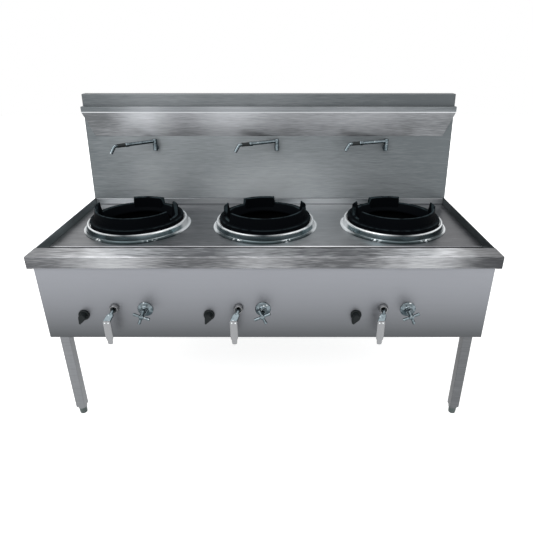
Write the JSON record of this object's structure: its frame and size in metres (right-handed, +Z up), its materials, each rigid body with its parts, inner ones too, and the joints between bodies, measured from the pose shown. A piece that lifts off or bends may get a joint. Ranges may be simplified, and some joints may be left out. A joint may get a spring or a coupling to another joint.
{
  "type": "wok range",
  "caption": "Free-standing stainless steel wok range with a lowered deck, front gutter, splashback, cast iron wok rings, swing spouts, knee levers and water taps.",
  "frame": {"origin": "middle of the footprint at floor level", "axes": "+X to the user's right along the front, +Y to the back, +Z up"},
  "size_m": [1.8, 0.908, 1.3],
  "materials": {
    "top_rim": "brushed",
    "deck": "brushed",
    "gutter_trough": "mill",
    "drain_outlet": "satin",
    "front_panel": "brushed",
    "side_panel_left": "brushed",
    "side_panel_right": "brushed",
    "rear_panel": "brushed",
    "base_pan": "mill",
    "splashback_sheet": "brushed",
    "splashback_cap_left": "brushed",
    "splashback_cap_right": "brushed",
    "duct_cover": "brushed",
    "gas_manifold": "plain",
    "water_manifold": "plain",
    "leg_front_left": "satin",
    "foot_front_left": "mill",
    "leg_front_right": "satin",
    "foot_front_right": "mill",
    "leg_rear_left": "satin",
    "foot_rear_left": "mill",
    "leg_rear_right": "satin",
    "foot_rear_right": "mill",
    "burner_collar_left": "polished",
    "fire_chamber_left": "mill",
    "burner_left": "matt black",
    "wok_ring_left": "matt black",
    "knob_left": "satin",
    "lever_boss_left": "satin",
    "knee_lever_left": "satin",
    "tap_escutcheon_left": "polished",
    "tap_handle_left": "polished",
    "spout_pillar_left": "polished",
    "spout_left": "polished",
    "spout_sleeve_left": "matt",
    "burner_collar_middle": "polished",
    "fire_chamber_middle": "mill",
    "burner_middle": "matt black",
    "wok_ring_middle": "matt black",
    "knob_middle": "satin",
    "lever_boss_middle": "satin",
    "knee_lever_middle": "satin",
    "tap_escutcheon_middle": "polished",
    "tap_handle_middle": "polished",
    "spout_pillar_middle": "polished",
    "spout_middle": "polished",
    "spout_sleeve_middle": "matt",
    "burner_collar_right": "polished",
    "fire_chamber_right": "mill",
    "burner_right": "matt black",
    "wok_ring_right": "matt black",
    "knob_right": "satin",
    "lever_boss_right": "satin",
    "knee_lever_right": "satin",
    "tap_escutcheon_right": "polished",
    "tap_handle_right": "polished",
    "spout_pillar_right": "polished",
    "spout_right": "polished",
    "spout_sleeve_right": "matt"
  },
  "bodies": {
    "cabinet": {"top_rim": "top_rim", "deck": "deck", "gutter_trough": "gutter_trough", "drain_outlet": "drain_outlet", "front_panel": "front_panel", "side_panel_left": "side_panel_left", "side_panel_right": "side_panel_right", "rear_panel": "rear_panel", "base_pan": "base_pan", "splashback_sheet": "splashback_sheet", "splashback_cap_left": "splashback_cap_left", "splashback_cap_right": "splashback_cap_right", "duct_cover": "duct_cover", "gas_manifold": "gas_manifold", "water_manifold": "water_manifold", "leg_front_left": "leg_front_left", "leg_front_right": "leg_front_right", "leg_rear_left": "leg_rear_left", "leg_rear_right": "leg_rear_right", "burner_collar_left": "burner_collar_left", "fire_chamber_left": "fire_chamber_left", "burner_left": "burner_left", "lever_boss_left": "lever_boss_left", "tap_escutcheon_left": "tap_escutcheon_left", "spout_pillar_left": "spout_pillar_left", "burner_collar_middle": "burner_collar_middle", "fire_chamber_middle": "fire_chamber_middle", "burner_middle": "burner_middle", "lever_boss_middle": "lever_boss_middle", "tap_escutcheon_middle": "tap_escutcheon_middle", "spout_pillar_middle": "spout_pillar_middle", "burner_collar_right": "burner_collar_right", "fire_chamber_right": "fire_chamber_right", "burner_right": "burner_right", "lever_boss_right": "lever_boss_right", "tap_escutcheon_right": "tap_escutcheon_right", "spout_pillar_right": "spout_pillar_right"},
    "foot_front_left": {"foot_front_left": "foot_front_left"},
    "foot_front_right": {"foot_front_right": "foot_front_right"},
    "foot_rear_left": {"foot_rear_left": "foot_rear_left"},
    "foot_rear_right": {"foot_rear_right": "foot_rear_right"},
    "wok_ring_left": {"wok_ring_left": "wok_ring_left"},
    "knob_left": {"knob_left": "knob_left"},
    "knee_lever_left": {"knee_lever_left": "knee_lever_left"},
    "tap_handle_left": {"tap_handle_left": "tap_handle_left"},
    "spout_left": {"spout_left": "spout_left", "spout_sleeve_left": "spout_sleeve_left"},
    "wok_ring_middle": {"wok_ring_middle": "wok_ring_middle"},
    "knob_middle": {"knob_middle": "knob_middle"},
    "knee_lever_middle": {"knee_lever_middle": "knee_lever_middle"},
    "tap_handle_middle": {"tap_handle_middle": "tap_handle_middle"},
    "spout_middle": {"spout_middle": "spout_middle", "spout_sleeve_middle": "spout_sleeve_middle"},
    "wok_ring_right": {"wok_ring_right": "wok_ring_right"},
    "knob_right": {"knob_right": "knob_right"},
    "knee_lever_right": {"knee_lever_right": "knee_lever_right"},
    "tap_handle_right": {"tap_handle_right": "tap_handle_right"},
    "spout_right": {"spout_right": "spout_right", "spout_sleeve_right": "spout_sleeve_right"}
  },
  "joints": [
    {"name": "foot_front_left_screw", "type": "slide", "parent": "cabinet", "child": "foot_front_left", "axis": [0, 0, -1], "range_m": [0, 0.025]},
    {"name": "foot_front_right_screw", "type": "slide", "parent": "cabinet", "child": "foot_front_right", "axis": [0, 0, -1], "range_m": [0, 0.025]},
    {"name": "foot_rear_left_screw", "type": "slide", "parent": "cabinet", "child": "foot_rear_left", "axis": [0, 0, -1], "range_m": [0, 0.025]},
    {"name": "foot_rear_right_screw", "type": "slide", "parent": "cabinet", "child": "foot_rear_right", "axis": [0, 0, -1], "range_m": [0, 0.025]},
    {"name": "wok_ring_left_lift", "type": "slide", "parent": "cabinet", "child": "wok_ring_left", "axis": [0, 0, 1], "range_m": [0, 0.15]},
    {"name": "knob_left_turn", "type": "hinge", "parent": "cabinet", "child": "knob_left", "pos_m": [-0.722, -0.396, 0.544], "axis": [0, -1, 0], "range_deg": [0, 90]},
    {"name": "knee_lever_left_swing", "type": "hinge", "parent": "cabinet", "child": "knee_lever_left", "pos_m": [-0.596, -0.396, 0.575], "axis": [0, 1, 0], "range_deg": [0, 75]},
    {"name": "tap_handle_left_turn", "type": "hinge", "parent": "cabinet", "child": "tap_handle_left", "pos_m": [-0.475, -0.396, 0.57], "axis": [0, -1, 0], "range_deg": [0, 540]},
    {"name": "spout_left_swivel", "type": "hinge", "parent": "cabinet", "child": "spout_left", "pos_m": [-0.56, 0.35432, 1.087], "axis": [0, 0, 1], "range_deg": [-38, 138]},
    {"name": "wok_ring_middle_lift", "type": "slide", "parent": "cabinet", "child": "wok_ring_middle", "axis": [0, 0, 1], "range_m": [0, 0.15]},
    {"name": "knob_middle_turn", "type": "hinge", "parent": "cabinet", "child": "knob_middle", "pos_m": [-0.224, -0.396, 0.544], "axis": [0, -1, 0], "range_deg": [0, 90]},
    {"name": "knee_lever_middle_swing", "type": "hinge", "parent": "cabinet", "child": "knee_lever_middle", "pos_m": [-0.105, -0.396, 0.575], "axis": [0, 1, 0], "range_deg": [0, 75]},
    {"name": "tap_handle_middle_turn", "type": "hinge", "parent": "cabinet", "child": "tap_handle_middle", "pos_m": [-0.009, -0.396, 0.57], "axis": [0, -1, 0], "range_deg": [0, 540]},
    {"name": "spout_middle_swivel", "type": "hinge", "parent": "cabinet", "child": "spout_middle", "pos_m": [0.038, 0.35432, 1.087], "axis": [0, 0, 1], "range_deg": [-28, 148]},
    {"name": "wok_ring_right_lift", "type": "slide", "parent": "cabinet", "child": "wok_ring_right", "axis": [0, 0, 1], "range_m": [0, 0.15]},
    {"name": "knob_right_turn", "type": "hinge", "parent": "cabinet", "child": "knob_right", "pos_m": [0.361, -0.396, 0.544], "axis": [0, -1, 0], "range_deg": [0, 90]},
    {"name": "knee_lever_right_swing", "type": "hinge", "parent": "cabinet", "child": "knee_lever_right", "pos_m": [0.467, -0.396, 0.575], "axis": [0, 1, 0], "range_deg": [0, 75]},
    {"name": "tap_handle_right_turn", "type": "hinge", "parent": "cabinet", "child": "tap_handle_right", "pos_m": [0.565, -0.396, 0.57], "axis": [0, -1, 0], "range_deg": [0, 540]},
    {"name": "spout_right_swivel", "type": "hinge", "parent": "cabinet", "child": "spout_right", "pos_m": [0.575, 0.35432, 1.087], "axis": [0, 0, 1], "range_deg": [-20, 156]}
  ]
}
